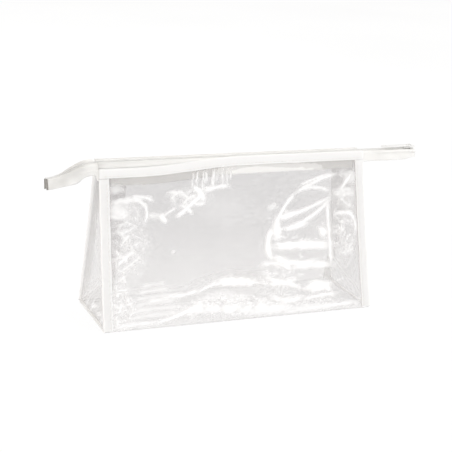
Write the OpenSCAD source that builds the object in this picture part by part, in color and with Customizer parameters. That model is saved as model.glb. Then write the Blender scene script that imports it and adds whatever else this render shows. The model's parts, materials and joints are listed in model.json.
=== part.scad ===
// Clear soft-sheet makeup bag: a tent-shaped body with folded side gussets, taped seams and a top zip.
// X runs along the zip, Y from front to rear and Z up. The origin is the middle of the base, on the floor.

/* [Body] */
// Length of the base along the zip
base_length = 220; // [190:5:250]
// Depth of the base from front to rear
base_depth = 70; // [60:1:80]
// Height of the two folded top edges
bag_height = 121; // [110:1:135]
// Length of the body along its top edge
top_length = 215; // [185:5:245]
// Distance between the folds of the two top edges
ridge_width = 11; // [10.5:0.5:14]
// Thickness of the clear sheet
sheet_t = 0.5; // [0.4:0.05:0.6]

/* [Gussets] */
// How far the middle crease is pushed in at the top
crease_in_top = 24; // [16:1:30]
// How far the crease is pushed in where it forks
fork_in = 19; // [12:1:24]
// Height of the fork above the floor
fork_height = 34; // [24:1:44]

/* [Seam tape] */
// Width of the tape over the side seams
seam_tape_w = 7.5; // [6:0.5:9]
// Thickness of the folded tape
seam_tape_t = 1.5; // [1.2:0.1:1.8]
// Height of the tape along the top edges
top_tape_h = 7; // [5:0.5:9]
// Width of the seam tape along the ends of the base
base_tape_w = 3.6; // [3:0.1:5]

/* [Zip] */
// How far the zip tape reaches down inside the wall
flap_depth = 13.5; // [11:0.5:18]
// Thickness of the zip tape
tape_t = 0.5; // [0.4:0.05:0.6]
// How far the middle of the zip lies below the folded edges
zip_drop = 1.2; // [0.8:0.1:1.6]
// Width of one row of coil
coil_w = 1.7; // [1.4:0.1:2]
// Height of the coil
coil_h = 0.9; // [0.7:0.05:1]
// Length of the straight tab at the right end
right_tab_len = 46; // [36:1:56]
// Length of the drooping tab at the left end, along its curve
left_tab_len = 38; // [32:1:44]
// Angle by which the left tab has dropped where it is steepest
left_tab_droop = 26; // [10:1:32]
// Height of the flaps that hang from a tab
tab_flap_h = 7.5; // [6:0.5:9]

/* [Slider] */
// Length of the slider
slider_len = 11; // [10:0.5:13]
// Width of the slider
slider_w = 7.2; // [6.6:0.1:7.4]
// Length of the pull from its pin to its free end
pull_len = 25; // [20:1:34]
// Width of the pull
pull_w = 5.6; // [4.6:0.2:6.4]

/* [Hidden] */
$fn = 48;

run_gap = 0.3;                 // clear space between pieces that move apart
skin_gap = 0.05;               // clear space between layers that lie on each other
fold_r = 0.35;                 // radius of the rolled fold at the foot of a wall
floor_gap = 0.15;              // clear space under the rolled folds

// A wall's own frame: u along X, w up the wall from its fold, v outward from the middle of its sheet.
fold_y = base_depth / 2 - fold_r;
fold_z = fold_r + floor_gap;
rise = bag_height - fold_z;
lean = atan((fold_y - ridge_width / 2) / rise);
wall_len = rise / cos(lean);
function wall_y(w, v = 0) = -fold_y + w * sin(lean) - v * cos(lean);
function wall_z(w, v = 0) = fold_z + w * cos(lean) + v * sin(lean);
function wall_half(w) = (base_length + (top_length - base_length) * w / wall_len) / 2;

top_tape_foot = wall_len - top_tape_h;
seam_tape_head = top_tape_foot - run_gap;
seam_tape_foot = 0.7;
sheet_head_gap = 0.6;          // distance of the sheet's top edge below the folded edge of the tape
panel_head = wall_len - sheet_head_gap;
flap_head_gap = 0.9;           // distance of the zip flap's head below the same edge
leaf_t = 0.6;                  // thickness of the outer leaf of the top tape

zip_z = bag_height - zip_drop;         // top face of the zip tape at its middle
coil_z = zip_z + skin_gap;
coil_gap = 0.15;               // half the space between the two rows over the body
tab_coil_gap = 0.6;            // half the space between the two rows on a tab
tape_edge = 0.7;               // distance of the tape's inner edge from the middle
flap_v = sheet_t / 2 + skin_gap;       // outer face of the flap, behind the sheet

tab_gap = 1.8;                 // clear space between the body and a tab
tab_shoulder = 4.8;            // inner half width of a tab's channel
tab_half = tab_shoulder + leaf_t;
right_tab_x = top_length / 2 + tab_gap;
right_tab_end = right_tab_x + right_tab_len;

facet_inset = 0.25;            // how far a corner of a gusset's face is drawn in from its creases
gusset_edge_in = 1.2;          // distance of the gusset's edge from the outer edge of the seam tape
gusset_foot_w = 2.4;
gusset_head_gap = 1.5;         // distance of the gusset's top edge below the head of the seam tape
gusset_head_w = seam_tape_head - gusset_head_gap;

plate_t = 0.7;                 // thickness of a slider plate
coil_end_gap = 3;              // distance of the coil's end from the end of the right tab
slider_x = right_tab_end - coil_end_gap;     // middle of the slider when the bag is closed
open_inset = 23.2;             // distance of the open slider's middle from the left end of the body
slider_travel = slider_x + top_length / 2 - open_inset;
top_plate_z = coil_z + coil_h + run_gap;
low_plate_z = zip_z - tape_t - run_gap - plate_t;
post_half = 0.3;               // half the thickness of the post between the plates
crown_w = 1.6;
crown_post = 0.8;
crown_span = 4.4;
crown_clear = 1.1;             // height of the window in the crown
crown_bar = 0.6;               // thickness of the crown over its window
pin_r = 0.4;
pin_z = top_plate_z + plate_t + crown_clear / 2;
pull_t = 2 * pin_r;
eye_reach = 3.1;               // distance of the plate of the pull from its pin
eye_half = 1.3;                // half the width of the eye in the pull

module clear_sheet() { color([0.86, 0.88, 0.88, 0.35]) children(); }
module white_tape() { color([0.96, 0.95, 0.94]) children(); }
module white_nylon() { color([0.9, 0.9, 0.89]) children(); }
module white_enamel() { color([0.82, 0.82, 0.82]) children(); }

// Stands a flat outline drawn in (u, w) up in the front wall, from v_low to v_high.
module on_front_wall(v_low, v_high)
    translate([0, -fold_y, fold_z])
        rotate([90 - lean, 0, 0])
            translate([0, 0, v_low])
                linear_extrude(v_high - v_low)
                    children();

// Draws a section given in (y, z) along X.
module along_x(x_low, x_high)
    translate([x_low, 0, 0])
        rotate([90, 0, 90])
            linear_extrude(x_high - x_low)
                children();

module to_rear() mirror([0, 1, 0]) children();
module to_left() mirror([1, 0, 0]) children();

// ---- clear sheet ----

module base_panel() {
    half_x = base_length / 2 - base_tape_w - 2 * skin_gap;
    half_y = fold_y - fold_r - run_gap;
    clear_sheet()
        translate([-half_x, -half_y, 0])
            cube([2 * half_x, 2 * half_y, sheet_t]);
}

module front_panel() {
    foot = wall_half(0) - seam_tape_w - run_gap;
    head = wall_half(panel_head) - seam_tape_w - run_gap;
    clear_sheet() {
        on_front_wall(-sheet_t / 2, sheet_t / 2)
            polygon([[-foot, 0], [foot, 0], [head, panel_head], [-head, panel_head]]);
        translate([-foot, -fold_y, fold_z])
            rotate([0, 90, 0])
                cylinder(r = fold_r, h = 2 * foot);
    }
}

module rear_panel() to_rear() front_panel();

// A flat three-cornered face of a creased sheet, drawn in by facet_inset so that it ends at its creases.
module facet(corners) {
    middle = (corners[0] + corners[1] + corners[2]) / 3;
    face = [for (p = corners) p + facet_inset * (middle - p) / norm(middle - p)];
    back = [for (p = face) p - [sheet_t, 0, 0]];
    polyhedron(
        points = concat(face, back),
        faces = [[2, 1, 0], [3, 4, 5], [0, 1, 4, 3], [1, 2, 5, 4], [2, 0, 3, 5]]
    );
}

// One sheet with a middle crease that forks above the floor into the two lower corners.
module right_gusset() {
    function seam_point(w, side) = [
        wall_half(w) - gusset_edge_in,
        side * wall_y(w, -seam_tape_t / 2 - skin_gap),
        wall_z(w, -seam_tape_t / 2 - skin_gap)
    ];
    fork = [wall_half(fork_height) - fork_in, 0, fork_height];
    top = [wall_half(gusset_head_w) - crease_in_top, 0, wall_z(gusset_head_w)];
    rim = [
        seam_point(gusset_foot_w, 1), seam_point(gusset_foot_w, -1),
        seam_point(gusset_head_w, -1), top, seam_point(gusset_head_w, 1)
    ];
    clear_sheet()
        for (i = [0 : len(rim) - 1])
            facet([rim[i], rim[(i + 1) % len(rim)], fork]);
}

module left_gusset() to_left() right_gusset();

// ---- seam tape ----

module front_right_seam_tape() {
    foot = wall_half(seam_tape_foot);
    head = wall_half(seam_tape_head);
    white_tape()
        on_front_wall(-seam_tape_t / 2, seam_tape_t / 2)
            polygon([
                [foot - seam_tape_w, seam_tape_foot], [foot, seam_tape_foot],
                [head, seam_tape_head], [head - seam_tape_w, seam_tape_head]
            ]);
}

module front_left_seam_tape() to_left() front_right_seam_tape();
module rear_right_seam_tape() to_rear() front_right_seam_tape();
module rear_left_seam_tape() to_rear() front_left_seam_tape();

module right_base_seam_tape() {
    half_y = fold_y - seam_tape_t / 2 - 2 * run_gap;
    height = 2;
    round_r = 0.7;                 // radius of the tape's rolled edge
    x_low = base_length / 2 - base_tape_w;
    white_tape()
        translate([x_low, half_y, 0])
            rotate([90, 0, 0])
                linear_extrude(2 * half_y)
                    union() {
                        square([base_tape_w - round_r, height]);
                        square([base_tape_w, height - round_r]);
                        translate([base_tape_w - round_r, height - round_r]) circle(r = round_r);
                    }
}

module left_base_seam_tape() to_left() right_base_seam_tape();

// The outer leaf of the tape that wraps the sheet's top edge, with a bevelled fold.
module front_top_tape() {
    v_low = sheet_t / 2 + skin_gap;
    v_high = v_low + leaf_t;
    bevel = leaf_t / 3;
    leaf = [
        [top_tape_foot, v_low], [top_tape_foot, v_high], [wall_len, v_high],
        [wall_len + bevel, v_high - bevel], [wall_len + bevel, v_low + bevel], [wall_len, v_low]
    ];
    white_tape()
        along_x(-top_length / 2, top_length / 2)
            polygon([for (p = leaf) [wall_y(p[0], p[1]), wall_z(p[0], p[1])]]);
}

module rear_top_tape() to_rear() front_top_tape();

// ---- zip over the body ----

// A flat strip beside the coil, and the flap that hangs from its outer edge behind the wall. The
// flap's lower part stops short of the side seam tape.
module front_zip_tape() {
    inner_v = -flap_v - tape_t;
    flap_head = wall_len - flap_head_gap;
    flap_foot = wall_len - flap_depth;
    flap_half = wall_half(flap_foot) - seam_tape_w - 2 * run_gap;
    strip_edge = wall_y(flap_head, inner_v) + skin_gap;
    white_tape() {
        along_x(-top_length / 2, top_length / 2)
            translate([strip_edge, zip_z - tape_t])
                square([-tape_edge - strip_edge, tape_t]);
        on_front_wall(inner_v, -flap_v)
            polygon([
                [-flap_half, flap_foot], [flap_half, flap_foot], [flap_half, top_tape_foot],
                [top_length / 2, top_tape_foot], [top_length / 2, flap_head],
                [-top_length / 2, flap_head], [-top_length / 2, top_tape_foot], [-flap_half, top_tape_foot]
            ]);
    }
}

module rear_zip_tape() to_rear() front_zip_tape();

// One row of coil: a low bar with a rounded top edge.
module coil_row(x_low, x_high, gap) {
    round_r = coil_h / 2;
    white_nylon()
        along_x(x_low, x_high)
            translate([-gap - coil_w, coil_z]) {
                translate([round_r, 0]) square([coil_w - round_r, coil_h]);
                translate([round_r, round_r]) circle(r = round_r);
            }
}

module front_coil() coil_row(-top_length / 2, top_length / 2, coil_gap);
module rear_coil() to_rear() front_coil();

// ---- right tab ----

// A tab's half of the tape is a strip beside the coil and a flap that hangs from its edge.
tab_strip = [
    [-tape_edge, 0], [-tape_edge, -tape_t],
    [-tab_shoulder + skin_gap, -tape_t], [-tab_shoulder + skin_gap, 0]
];
tab_flap = [
    [-tab_shoulder, 0], [-tab_shoulder, -tab_flap_h], [-tab_half, -tab_flap_h], [-tab_half, 0]
];

module right_tab_front_tape()
    white_tape()
        along_x(right_tab_x, right_tab_end)
            translate([0, zip_z])
                for (section = [tab_strip, tab_flap])
                    polygon(section);

module right_tab_rear_tape() to_rear() right_tab_front_tape();

module right_tab_coil() {
    coil_row(right_tab_x, right_tab_end - coil_end_gap, tab_coil_gap);
    to_rear() coil_row(right_tab_x, right_tab_end - coil_end_gap, tab_coil_gap);
}

// Two crimped blocks that end the coil inside the slider's mouth.
module top_stops() {
    stop_w = 1.9;
    stop_l = 2.4;
    stop_x = right_tab_end - stop_l - run_gap;
    white_nylon()
        for (side = [-1, 1])
            translate([stop_x, side * (tab_coil_gap + stop_w / 2) - stop_w / 2, coil_z])
                cube([stop_l, stop_w, coil_h]);
}

// ---- left tab ----

// The tab's line in the XZ plane: its slope grows to the full droop and eases back at the end.
tab_steps = 14;
function tab_slope(s) = left_tab_droop * sin(180 * s);
function tab_step(i) = left_tab_len / tab_steps * [
    -cos(tab_slope((i + 0.5) / tab_steps)), -sin(tab_slope((i + 0.5) / tab_steps))
];
function tab_line(i) = i == 0 ? [-top_length / 2 - tab_gap, 0] : tab_line(i - 1) + tab_step(i - 1);

// Sweeps a section, given as (y, height above the tape's top face), along the tab's line.
module along_left_tab(section) {
    n = len(section);
    points = [
        for (i = [0 : tab_steps])
            let (at = tab_line(i), turn = tab_slope(i / tab_steps))
                for (p = section)
                    [at[0] - p[1] * sin(turn), p[0], zip_z + at[1] + p[1] * cos(turn)]
    ];
    sides = [
        for (i = [0 : tab_steps - 1], k = [0 : n - 1])
            [i * n + k, i * n + (k + 1) % n, (i + 1) * n + (k + 1) % n, (i + 1) * n + k]
    ];
    first = [for (k = [n - 1 : -1 : 0]) k];
    last = [for (k = [0 : n - 1]) tab_steps * n + k];
    polyhedron(points = points, faces = concat(sides, [first, last]));
}

module left_tab_front_tape()
    white_tape()
        for (section = [tab_strip, tab_flap])
            along_left_tab(section);

module left_tab_rear_tape() to_rear() left_tab_front_tape();

module left_tab_row()
    white_nylon()
        along_left_tab([
            [-tab_coil_gap, skin_gap + coil_h], [-tab_coil_gap, skin_gap],
            [-tab_coil_gap - coil_w, skin_gap], [-tab_coil_gap - coil_w, skin_gap + coil_h]
        ]);

module left_tab_coil() {
    left_tab_row();
    to_rear() left_tab_row();
}

// A moulded block under the tape that joins its two edges and ends the slider's travel.
module bottom_stop() {
    stop_l = 2.6;
    stop_half = 2.4;
    stop_t = 0.9;
    stop_x = slider_x - slider_travel - slider_len / 2 - run_gap - stop_l;
    white_nylon()
        translate([stop_x, -stop_half, zip_z - tape_t - run_gap - stop_t])
            cube([stop_l, 2 * stop_half, stop_t]);
}

// ---- slider ----

// The plan of a slider plate: a rounded nose to the right and a narrower tail.
module slider_plan() {
    nose_r = slider_w / 2;
    tail_r = 1;
    tail_inset = 0.5;
    tail_half = nose_r - tail_inset;
    nose_x = slider_len / 2 - nose_r;
    tail_x = tail_r - slider_len / 2;
    translate([nose_x, 0]) circle(r = nose_r);
    translate([tail_x, -tail_half]) square([nose_x - tail_x, 2 * tail_half]);
    for (side = [-1, 1])
        translate([tail_x, side * (tail_half - tail_r)]) circle(r = tail_r);
    translate([-slider_len / 2, tail_r - tail_half]) square([2 * tail_r, 2 * (tail_half - tail_r)]);
}

module slider_body() {
    post_len = 1.6;
    post_inset = 3.4;
    post_x = slider_x + slider_len / 2 - post_inset;
    white_enamel() {
        translate([slider_x, 0, low_plate_z]) linear_extrude(plate_t) slider_plan();
        translate([slider_x, 0, top_plate_z]) linear_extrude(plate_t) slider_plan();
        translate([post_x, -post_half, low_plate_z])
            cube([post_len, 2 * post_half, top_plate_z + plate_t - low_plate_z]);
    }
}

// An arch on the top plate that keeps the pull's pin.
module slider_crown() {
    foot_z = top_plate_z + plate_t;
    white_enamel()
        translate([slider_x - crown_span / 2, crown_w / 2, foot_z])
            rotate([90, 0, 0])
                linear_extrude(crown_w)
                    difference() {
                        square([crown_span, crown_clear + crown_bar]);
                        translate([crown_post, -1]) square([crown_span - 2 * crown_post, crown_clear + 1]);
                    }
}

module slider_pull() {
    end_r = 1.2;
    hole_r = 1.3;
    hole_inset = 3.4;
    overlap = 1;
    arm_w = pull_w / 2 - eye_half;
    white_enamel() {
        translate([slider_x, pull_w / 2, pin_z])
            rotate([90, 0, 0])
                cylinder(r = pin_r, h = pull_w);
        translate([slider_x, 0, pin_z - pull_t / 2])
            linear_extrude(pull_t) {
                for (side = [-1, 1])
                    translate([-eye_reach - overlap, side * (eye_half + arm_w / 2) - arm_w / 2])
                        square([eye_reach + overlap, arm_w]);
                difference() {
                    union() {
                        translate([end_r - pull_len, -pull_w / 2])
                            square([pull_len - eye_reach - end_r, pull_w]);
                        translate([-pull_len, end_r - pull_w / 2])
                            square([2 * end_r, pull_w - 2 * end_r]);
                        for (side = [-1, 1])
                            translate([end_r - pull_len, side * (pull_w / 2 - end_r)]) circle(r = end_r);
                    }
                    translate([hole_inset - pull_len, 0]) circle(r = hole_r);
                }
            }
    }
}

base_panel();
front_panel();
rear_panel();
left_gusset();
right_gusset();
front_left_seam_tape();
front_right_seam_tape();
rear_left_seam_tape();
rear_right_seam_tape();
left_base_seam_tape();
right_base_seam_tape();
front_top_tape();
rear_top_tape();
front_zip_tape();
rear_zip_tape();
front_coil();
rear_coil();
right_tab_front_tape();
right_tab_rear_tape();
right_tab_coil();
top_stops();
left_tab_front_tape();
left_tab_rear_tape();
left_tab_coil();
bottom_stop();
slider_body();
slider_crown();
slider_pull();
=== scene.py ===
import json
import math
import bpy
from mathutils import Matrix, Quaternion, Vector, noise


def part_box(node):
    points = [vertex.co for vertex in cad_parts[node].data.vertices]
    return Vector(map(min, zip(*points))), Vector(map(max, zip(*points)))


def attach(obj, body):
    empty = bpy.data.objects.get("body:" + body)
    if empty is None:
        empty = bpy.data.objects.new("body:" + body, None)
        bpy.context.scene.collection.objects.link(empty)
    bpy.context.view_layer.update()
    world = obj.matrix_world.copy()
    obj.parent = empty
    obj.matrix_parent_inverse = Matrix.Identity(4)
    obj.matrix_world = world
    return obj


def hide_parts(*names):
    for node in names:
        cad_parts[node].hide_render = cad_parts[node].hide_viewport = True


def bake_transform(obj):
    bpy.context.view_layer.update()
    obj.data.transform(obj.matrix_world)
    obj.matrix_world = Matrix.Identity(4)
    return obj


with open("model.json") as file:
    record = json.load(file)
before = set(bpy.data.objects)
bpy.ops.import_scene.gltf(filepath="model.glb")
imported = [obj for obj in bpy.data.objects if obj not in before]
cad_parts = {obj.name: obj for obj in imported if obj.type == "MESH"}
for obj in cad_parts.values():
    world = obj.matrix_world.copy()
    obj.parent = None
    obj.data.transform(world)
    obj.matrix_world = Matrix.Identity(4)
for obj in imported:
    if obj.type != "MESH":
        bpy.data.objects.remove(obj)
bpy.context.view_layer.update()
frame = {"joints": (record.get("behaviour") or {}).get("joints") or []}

# All shapes are worked out in millimetres, in the frame of part.scad, and written to meshes in metres.
MM = 0.001


# ---- camera ----

def photo_camera():
    azimuth, elevation, roll = math.radians(-22.72), math.radians(16.8), math.radians(3.01)
    target, distance = Vector((-3.3, 0, 64.5)) * MM, 0.925
    back = Vector((
        math.sin(azimuth) * math.cos(elevation),
        -math.cos(azimuth) * math.cos(elevation),
        math.sin(elevation),
    ))
    data = bpy.data.cameras.new("camera")
    data.lens = 95.65
    data.sensor_width = 36.0
    data.clip_start, data.clip_end = 0.01, 50.0
    camera = bpy.data.objects.new("camera", data)
    bpy.context.scene.collection.objects.link(camera)
    camera.location = target + back * distance
    camera.rotation_mode = "QUATERNION"
    facing = (-back).to_track_quat("-Z", "Y")
    camera.rotation_quaternion = facing @ Quaternion((0, 0, 1), roll)
    bpy.context.scene.camera = camera


photo_camera()


# ---- measures of the CAD frame, in millimetres ----

def box_mm(node):
    low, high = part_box(node)
    return low / MM, high / MM


JOINTS = {j["name"]: j for j in frame["joints"]}
FOLD_Y = -JOINTS["front_wall_fold"]["pos_m"][1] / MM
FOLD_Z = JOINTS["front_wall_fold"]["pos_m"][2] / MM
BASE_HALF = box_mm("right_base_seam_tape")[1].x
TOP_HALF = box_mm("front_top_tape")[1].x
STRIP_Z = box_mm("right_tab_front_tape")[1].z
COIL_Z = box_mm("front_coil")[0].z
COIL_H = box_mm("front_coil")[1].z - COIL_Z
TAB_FROM = box_mm("right_tab_front_tape")[0].x
TAB_TO = box_mm("right_tab_front_tape")[1].x
TAB_HALF = -box_mm("right_tab_front_tape")[0].y
TAB_FOOT = box_mm("right_tab_front_tape")[0].z
FLAP_HALF = 98.2
BAG_HEIGHT, RIDGE_HALF = 121.0, 5.5
SEAM_TAPE_W, SEAM_TAPE_T, TOP_TAPE_H, FLAP_DEPTH, BASE_TAPE_W = 7.5, 1.5, 7.0, 13.5, 3.6
SHEET_T, TAPE_T = 0.4, 0.45
STRIP_MIDDLE = STRIP_Z - TAPE_T / 2

LEAN = math.atan((FOLD_Y - RIDGE_HALF) / (BAG_HEIGHT - FOLD_Z))
SIN, COS = math.sin(LEAN), math.cos(LEAN)
WALL_LEN = (BAG_HEIGHT - FOLD_Z) / COS
TOP_TAPE_FOOT = WALL_LEN - TOP_TAPE_H
FRONT, REAR = 1, -1
LEFT, RIGHT = -1, 1


def smooth(t):
    t = min(1.0, max(0.0, t))
    return t * t * (3 - 2 * t)


def mix(a, b, t):
    return a + (b - a) * t


def wall_half(w):
    return mix(BASE_HALF, TOP_HALF, w / WALL_LEN)


def spread(a, b, steps):
    """Values from a to b in equal steps."""
    return [mix(a, b, k / steps) for k in range(steps + 1)]


def form(u, w):
    """How far a wall as a whole, with its seams, stands out from its flat CAD plane."""
    hollow, wave, wave_length = -0.9, 0.5, 70
    t = min(1.0, max(0.0, w / WALL_LEN))
    return hollow * math.sin(math.pi * t) + wave * math.sin(2 * math.pi * t) * math.cos(u / wave_length)


def wall(u, w, v=0.0, side=FRONT):
    """A point of the front or rear wall: u along X, w up the wall from its fold, v outward."""
    out = v + form(u * side, w)
    y = -FOLD_Y + w * SIN - out * COS
    return Vector((u, side * y, FOLD_Z + w * COS + out * SIN))


SLUMP_DROP = 5.5
SLUMP_X, SLUMP_LENGTH, SLUMP_TAB_LENGTH = -78.0, 84.0, 30.0
SLUMP_Z, SLUMP_HEIGHT = 62.0, 60.0
SLIDER_HALF, SLUMP_EDGE = 3.75, 1.7


def slump(p):
    """Lowers the front top edge towards the left end, beside the strip that the slider runs on."""
    along = 1 - smooth((p.x - SLUMP_X) / SLUMP_LENGTH)
    if p.x < -TOP_HALF:
        along *= 1 - smooth((-TOP_HALF - p.x) / SLUMP_TAB_LENGTH)
    height = smooth((p.z - SLUMP_Z) / SLUMP_HEIGHT)
    front = smooth((-p.y - SLIDER_HALF) / SLUMP_EDGE)
    return Vector((p.x, p.y, p.z - SLUMP_DROP * along * height * front))


# ---- meshes ----

def make_object(name, points, faces, material):
    mesh = bpy.data.meshes.new(name)
    mesh.from_pydata([slump(p) * MM for p in points], [], faces)
    mesh.validate()
    mesh.update()
    mesh.shade_smooth()
    mesh.materials.append(material)
    piece = bpy.data.objects.new(name, mesh)
    bpy.context.scene.collection.objects.link(piece)
    return piece


def put_values(piece, name, values):
    attribute = piece.data.attributes.new(name, "FLOAT", "POINT")
    attribute.data.foreach_set("value", values)


def put_vectors(piece, name, values):
    attribute = piece.data.attributes.new(name, "FLOAT_VECTOR", "POINT")
    attribute.data.foreach_set("vector", [c for v in values for c in v])


def flat(grid):
    return [value for row in grid for value in row]


def mirrored(grid):
    """The grid with its rows turned round, so that its normals point the other way."""
    return [list(reversed(row)) for row in grid]


def grid_normals(grid):
    """Normals of a grid of points, given as rows."""
    rows, columns = len(grid), len(grid[0])
    normals = []
    for j in range(rows):
        below, above = grid[max(j - 1, 0)], grid[min(j + 1, rows - 1)]
        row = []
        for i in range(columns):
            along = grid[j][min(i + 1, columns - 1)] - grid[j][max(i - 1, 0)]
            n = along.cross(above[i] - below[i])
            row.append(n.normalized() if n.length > 1e-9 else Vector((0, 0, 1)))
        normals.append(row)
    return normals


def shell(name, grid, thickness, material, haze_and_highlight=None, threads=None):
    """A thin closed sheet around a grid of points. haze and threads give a value for each grid point."""
    rows, columns = len(grid), len(grid[0])
    normals = grid_normals(grid)
    half = thickness / 2
    outer = [p + n * half for p, n in zip(flat(grid), flat(normals))]
    inner = [p - n * half for p, n in zip(flat(grid), flat(normals))]
    count = rows * columns
    faces = []
    for j in range(rows - 1):
        for i in range(columns - 1):
            a = j * columns + i
            quad = (a, a + 1, a + 1 + columns, a + columns)
            faces.append(quad)
            faces.append(tuple(k + count for k in reversed(quad)))
    rim = list(range(columns))
    rim += [j * columns + columns - 1 for j in range(1, rows)]
    rim += [(rows - 1) * columns + i for i in range(columns - 2, -1, -1)]
    rim += [j * columns for j in range(rows - 2, 0, -1)]
    for k, a in enumerate(rim):
        b = rim[(k + 1) % len(rim)]
        faces.append((b, a, a + count, b + count))
    piece = make_object(name, outer + inner, faces, material)
    if haze_and_highlight:
        put_values(piece, "haze_and_highlight", flat(haze_and_highlight) * 2)
    if threads:
        put_vectors(piece, "threads", flat(threads) * 2)
    return piece


def circle(centre, first, second, radius, around):
    """Points round a centre, in the plane of two directions."""
    angles = [2 * math.pi * m / around for m in range(around)]
    return [centre + (first * math.cos(a) + second * math.sin(a)) * radius for a in angles]


def tube_faces(rings, around):
    """Faces of a closed tube through rings of points, with a face over each end."""
    faces = []
    for k in range(rings - 1):
        for i in range(around):
            a, b = k * around + i, k * around + (i + 1) % around
            faces.append((a, b, b + around, a + around))
    faces.append(tuple(reversed(range(around))))
    faces.append(tuple(range((rings - 1) * around, rings * around)))
    return faces


def sweep(name, sections, threads):
    """A binding through a list of closed sections with the same number of points."""
    faces = tube_faces(len(sections), len(sections[0]))
    piece = make_object(name, flat(sections), faces, BINDING)
    put_vectors(piece, "threads", threads)
    return piece


def join_meshes(pieces):
    """One mesh of several that belong to one moulding or one thread."""
    points, faces = [], []
    for p, f in pieces:
        faces += [tuple(i + len(points) for i in face) for face in f]
        points += p
    return points, faces


# ---- materials ----

class Graph:
    """The nodes of a new material or world, with short calls for them."""

    def __init__(self, owner, kind="Material"):
        self.owner = owner
        self.owner.use_nodes = True
        self.tree = self.owner.node_tree
        self.tree.nodes.clear()
        self.out = self.tree.nodes.new("ShaderNodeOutput" + kind)

    def node(self, kind, settings=None, **inputs):
        made = self.tree.nodes.new("ShaderNode" + kind)
        for key, value in (settings or {}).items():
            setattr(made, key, value)
        for key, value in inputs.items():
            self.feed(made.inputs[key.replace("_", " ")], value)
        return made

    def feed(self, socket, value):
        if isinstance(value, bpy.types.NodeSocket):
            self.tree.links.new(value, socket)
        else:
            socket.default_value = value

    def join(self, kind, settings, sockets, *values):
        """A node that is fed by the numbers of its sockets."""
        made = self.node(kind, settings)
        for socket, value in zip(sockets, values):
            self.feed(made.inputs[socket], value)
        return made

    def math(self, operation, *values):
        return self.join("Math", {"operation": operation}, range(3), *values).outputs[0]

    def attribute(self, name, output="Fac"):
        return self.node("Attribute", {"attribute_name": name}).outputs[output]

    def place(self):
        return self.node("TexCoord").outputs["Object"]

    def threads(self):
        """How far a point lies along a tape or thread, and how far across it."""
        return self.node("SeparateXYZ", Vector=self.attribute("threads", "Vector")).outputs[:2]

    def ramp(self, value, stops):
        made = self.node("ValToRGB", Fac=value)
        for k, (at, colour) in enumerate(stops):
            element = made.color_ramp.elements[k] if k < 2 else made.color_ramp.elements.new(at)
            element.position = at
            element.color = (*colour, 1.0)
        return made.outputs["Color"]

    def noise(self, scale, detail=2.0, roughness=0.5):
        made = self.node("TexNoise", Vector=self.place(), Scale=scale, Detail=detail, Roughness=roughness)
        return made.outputs[0]

    def bump(self, height, distance, strength=1.0):
        return self.node("Bump", Height=height, Distance=distance, Strength=strength).outputs[0]

    def mix(self, factor, first, second):
        return self.join("MixShader", None, range(3), factor, first, second).outputs[0]

    def blend_colour(self, factor, first, second):
        return self.join("Mix", {"data_type": "RGBA"}, (0, 6, 7), factor, first, second).outputs[2]

    def finish(self, shader):
        self.feed(self.out.inputs["Surface"], shader)
        return self.owner


def clear_vinyl():
    """Clear soft vinyl: it shines where it is seen at a slant, turns milky along its creases with painted
    highlights there, and its tint is painted darker toward the top.
    """
    g = Graph(bpy.data.materials.new("clear_vinyl"))
    grain = g.noise(260.0, 3.0, 0.6)
    ripple = g.noise(70.0, 2.0, 0.5)
    normal = g.bump(g.math("MULTIPLY_ADD", grain, 0.25, ripple), 0.0004)
    # The see-through tint is painted darker toward the top, as painted shade; the noise adds an uneven tone.
    up = g.node("SeparateXYZ", Vector=g.place()).outputs[2]
    top_shade_and_tone = g.math("MULTIPLY_ADD", up, 5.0, g.math("MULTIPLY", g.noise(16.0, 2.0), 0.8))
    tint = g.ramp(top_shade_and_tone, [(0.3, (0.966, 0.962, 0.961)), (0.95, (0.91, 0.906, 0.906))])
    through = g.node("BsdfTransparent", Color=tint).outputs[0]
    shine = g.node(
        "BsdfGlossy", Color=(1.0, 1.0, 1.0, 1.0), Roughness=0.06, Normal=normal
    ).outputs[0]
    facing = g.node("LayerWeight", Blend=0.5, Normal=normal).outputs["Facing"]
    slant = g.math("MULTIPLY_ADD", g.math("POWER", facing, 4.5), 0.85, 0.04)
    clear = g.mix(slant, through, shine)
    # The milky white layer is partly crease whitening and partly painted highlight; its small emission is a
    # painted glow.
    whitening_and_highlight = g.math("MULTIPLY_ADD", g.noise(28.0, 3.0, 0.6), 0.03, g.attribute("haze_and_highlight"))
    whitening_and_highlight = g.math("MINIMUM", whitening_and_highlight, 0.95)
    body = g.node(
        "BsdfPrincipled", Base_Color=(1.0, 1.0, 1.0, 1.0), Roughness=0.35, Normal=normal,
        Emission_Color=(1.0, 1.0, 1.0, 1.0), Emission_Strength=0.06,
    ).outputs[0]
    return g.finish(g.mix(whitening_and_highlight, clear, body))


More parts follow.
